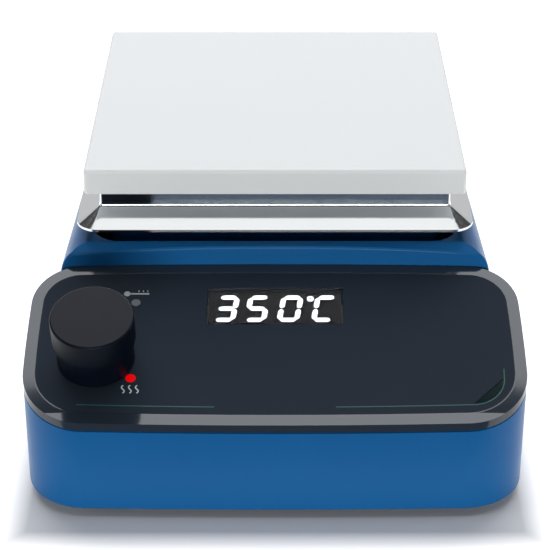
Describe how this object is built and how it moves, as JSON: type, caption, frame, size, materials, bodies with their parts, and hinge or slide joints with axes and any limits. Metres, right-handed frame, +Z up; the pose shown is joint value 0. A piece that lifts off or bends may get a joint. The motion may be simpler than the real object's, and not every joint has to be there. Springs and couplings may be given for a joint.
{
  "type": "laboratory hotplate",
  "caption": "Bench laboratory hotplate: square white ceramic-coated heater over a steel spill skirt on a blue cast housing, with a sloping black facia, digital readout and turn-and-push knob.",
  "frame": {"origin": "on the surface that the rubber feet stand on, under the middle of the overall box", "axes": "+Z up, +X to the right as the user faces the facia, +Y towards the back where the mains inlet is"},
  "size_m": [0.1896, 0.264, 0.105],
  "materials": {
    "blue_enamel": "smooth glossy powder coat",
    "turned_steel": "turned and brushed",
    "zinc_plate": "grey zinc-coated sheet",
    "screw_steel": "plated fasteners",
    "foot_rubber": "soft black rubber",
    "white_ceramic": "fine matt white ceramic coating",
    "element_steel": "heat-tinted tube",
    "clamp_aluminium": "plain rolled",
    "ceramic_fibre": "compressed fibre board",
    "polished_steel": "bright polished stainless sheet",
    "brown_resin": "phenolic resin",
    "black_gloss": "glossy black moulding",
    "slate_film": "satin printed film",
    "smoked_window": "clear window with a dark tint",
    "black_matte": "fine textured moulding",
    "lit_white": "lit white segments",
    "clear_lens": "milky grey lens",
    "red_lens": "lit red lens",
    "board_green": "solder-masked circuit board",
    "knob_black": "satin moulding",
    "brass_parts": "nickel-free brass",
    "transformer_iron": "varnished laminations and winding",
    "relay_case": "moulded relay case",
    "capacitor_sleeve": "shrink sleeve",
    "terminal_green": "moulded terminal block",
    "drawer_grey": "moulded drawer",
    "fuse_glass": "glass tube with metal caps",
    "rocker_black": "gloss moulding",
    "heat_sleeve": "woven glass sleeve",
    "wire_sleeve": "insulated wire",
    "ribbon_grey": "flat ribbon"
  },
  "bodies": {
    "case": {"base_plate": "zinc_plate", "base_screws": "screw_steel", "board_screws": "screw_steel", "board_standoffs": "brass_parts", "capacitors": "capacitor_sleeve", "clamp_screws": "screw_steel", "control_board": "board_green", "display_module": "black_matte", "display_segments": "lit_white", "display_window": "smoked_window", "element_clamp_plate": "clamp_aluminium", "encoder_body": "turned_steel", "encoder_nut": "screw_steel", "facia_bezel": "black_gloss", "facia_label": "slate_film", "facia_screws": "screw_steel", "foot_front_left": "foot_rubber", "foot_front_right": "foot_rubber", "foot_rear_left": "foot_rubber", "foot_rear_right": "foot_rubber", "foot_screws": "screw_steel", "heat_shield_pan": "polished_steel", "heater_leads": "heat_sleeve", "heating_element": "element_steel", "hot_light_pipe": "red_lens", "housing": "blue_enamel", "indicator_leds": "clear_lens", "inlet_body": "black_matte", "inlet_pins": "brass_parts", "insulation_pad": "ceramic_fibre", "mains_wires": "wire_sleeve", "pillar_screws": "screw_steel", "plate_pillars": "turned_steel", "power_board": "board_green", "probe_light_pipe": "clear_lens", "probe_socket": "turned_steel", "probe_socket_nut": "screw_steel", "rear_panel": "zinc_plate", "rear_panel_screws": "screw_steel", "relay": "relay_case", "ribbon_cable": "ribbon_grey", "rod_socket": "turned_steel", "sensor_lead": "heat_sleeve", "spill_skirt": "polished_steel", "switch_frame": "black_matte", "temperature_sensor": "turned_steel", "terminal_block": "terminal_green", "thermal_cutout": "brown_resin", "top_plate": "white_ceramic", "transformer": "transformer_iron", "triac": "black_matte", "triac_heatsink": "clamp_aluminium"},
    "encoder_push": {"encoder_plunger": "black_matte"},
    "knob_turn": {"encoder_shaft": "turned_steel", "knob": "knob_black"},
    "rocker": {"switch_rocker": "rocker_black"},
    "fuse_tray": {"fuse_drawer": "drawer_grey", "fuse": "fuse_glass"}
  },
  "joints": [
    {"name": "knob_push", "type": "slide", "parent": "case", "child": "encoder_push", "axis": [0, 0.309, -0.9511], "range_m": [0, 0.0005], "stiffness_N_per_m": 3000, "springref_m": -0.0003},
    {"name": "knob_spin", "type": "hinge", "parent": "encoder_push", "child": "knob_turn", "pos_m": [-0.0675, -0.1018, 0.05199], "axis": [0, -0.309, 0.9511], "continuous": true},
    {"name": "power_rocker", "type": "hinge", "parent": "case", "child": "rocker", "pos_m": [0.008, 0.1255, 0.027], "axis": [1, 0, 0], "range_deg": [-18, 0]},
    {"name": "fuse_drawer_slide", "type": "slide", "parent": "case", "child": "fuse_tray", "axis": [0, 1, 0], "range_m": [0, 0.021]}
  ]
}
